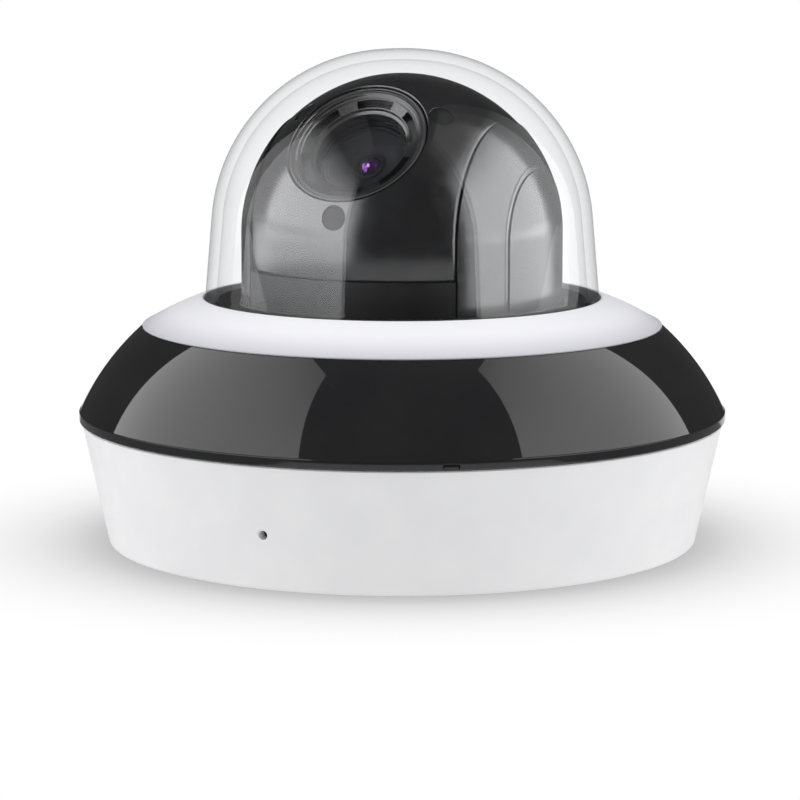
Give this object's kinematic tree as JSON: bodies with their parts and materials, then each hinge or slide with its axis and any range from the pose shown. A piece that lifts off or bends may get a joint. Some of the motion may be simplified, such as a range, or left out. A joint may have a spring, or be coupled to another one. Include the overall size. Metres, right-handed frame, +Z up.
{
  "type": "security camera",
  "caption": "Round mini pan-tilt-zoom dome security camera: flared white base, glossy black band, pale trim ring and a clear dome over a black motorised camera ball.",
  "frame": {"origin": "centre of the base's mounting face, which the camera stands on", "axes": "+Z up from the mounting face through the dome, -Y to the front of the base, +X to the viewer's right"},
  "size_m": [0.1314, 0.1314, 0.0996],
  "materials": {
    "white_plastic": "satin moulded",
    "pearl_plastic": "pearl satin paint",
    "black_gloss": "high gloss",
    "clear_dome": "clear polycarbonate",
    "black_satin": "satin moulded",
    "black_matte": "matte",
    "plug_plastic": "satin",
    "window_glass": "coated glass",
    "lens_glass": "purple coated glass",
    "rubber": "matte",
    "steel": "zinc plated",
    "aluminium": "anodised",
    "motor_metal": "satin",
    "brass": "machined",
    "circuit_board": "solder mask",
    "chip_black": "moulded",
    "grey_plastic": "satin moulded",
    "filter_glass": "coated"
  },
  "bodies": {
    "base": {"mounting_plate": "steel", "base_housing": "white_plastic", "lock_screw": "steel", "network_jack": "steel", "power_jack": "black_matte", "reset_switch": "chip_black", "microphone": "steel", "mic_boot": "rubber", "main_board": "circuit_board", "board_screws": "steel", "processor": "chip_black", "heat_sink": "aluminium", "card_socket": "steel", "network_magnetics": "chip_black", "capacitors": "aluminium", "chassis": "steel", "chassis_screws": "steel", "pan_motor": "motor_metal", "motor_bracket": "steel", "pan_belt": "rubber", "bearing_outer_race": "steel", "bearing_balls": "steel", "cover_seal": "rubber", "cover_band": "black_gloss", "cover_latch": "black_gloss", "cover_screws": "steel", "dome_floor": "black_matte", "dome_seal": "rubber", "clear_dome": "clear_dome", "trim_ring": "pearl_plastic"},
    "reset_button": {"reset_button": "grey_plastic"},
    "pan_drive": {"pan_drive_pulley": "brass"},
    "pan_head": {"bearing_inner_race": "steel", "turntable": "grey_plastic", "pan_pulley": "brass", "yoke_arm_right": "black_satin", "yoke_arm_left": "black_satin", "side_cap_right": "black_satin", "side_cap_left": "black_satin", "fairing_front": "black_satin", "fairing_rear": "black_satin", "yoke_screws": "steel", "tilt_motor": "motor_metal", "tilt_belt": "rubber", "tilt_bushes": "brass"},
    "tilt_drive": {"tilt_drive_pulley": "brass"},
    "tilt_head": {"ball_front": "black_satin", "ball_rear": "black_satin", "tilt_shafts": "steel", "tilt_pulley": "brass", "screw_plugs": "plug_plastic", "lens_bezel": "black_satin", "front_window": "window_glass", "lens_hood": "black_matte", "lens_barrel": "black_matte", "front_lens": "lens_glass", "sensor_board": "circuit_board"},
    "zoom_group": {"zoom_group": "black_matte"},
    "focus_group": {"focus_group": "black_matte"},
    "ir_filter": {"ir_filter_slide": "filter_glass"}
  },
  "joints": [
    {"name": "pan", "type": "hinge", "parent": "base", "child": "pan_head", "pos_m": [0, 0, 0.0196], "axis": [0, 0, 1], "range_deg": [-150, 200]},
    {"name": "pan_motor_spin", "type": "hinge", "parent": "base", "child": "pan_drive", "pos_m": [0.045, 0, 0.016], "axis": [0, 0, 1], "range_deg": [-730, 970]},
    {"name": "tilt", "type": "hinge", "parent": "pan_head", "child": "tilt_head", "pos_m": [0, 0, 0.0625], "axis": [-0.9063, 0.4226, 0], "range_deg": [-43, 47]},
    {"name": "tilt_motor_spin", "type": "hinge", "parent": "pan_head", "child": "tilt_drive", "pos_m": [0.00211, 0.00453, 0.0252], "axis": [-0.9063, 0.4226, 0], "range_deg": [-140, 150]},
    {"name": "zoom", "type": "slide", "parent": "tilt_head", "child": "zoom_group", "axis": [-0.3091, -0.6628, 0.682], "range_m": [-0.004, 0.004]},
    {"name": "focus", "type": "slide", "parent": "tilt_head", "child": "focus_group", "axis": [-0.3091, -0.6628, 0.682], "range_m": [-0.0013, 0.0013]},
    {"name": "ir_filter_shift", "type": "slide", "parent": "tilt_head", "child": "ir_filter", "axis": [0.9063, -0.4226, 0], "range_m": [0, 0.009]},
    {"name": "reset_press", "type": "slide", "parent": "base", "child": "reset_button", "axis": [0, 1, 0], "range_m": [-0.0005, 0], "stiffness_N_per_m": 300, "springref_m": 0.0005}
  ],
  "couplings": [
    {"joint": "pan_motor_spin", "follows": "pan", "ratio": 4.8},
    {"joint": "tilt_motor_spin", "follows": "tilt", "ratio": 3.125},
    {"joint": "focus", "follows": "zoom", "ratio": 0.3}
  ]
}
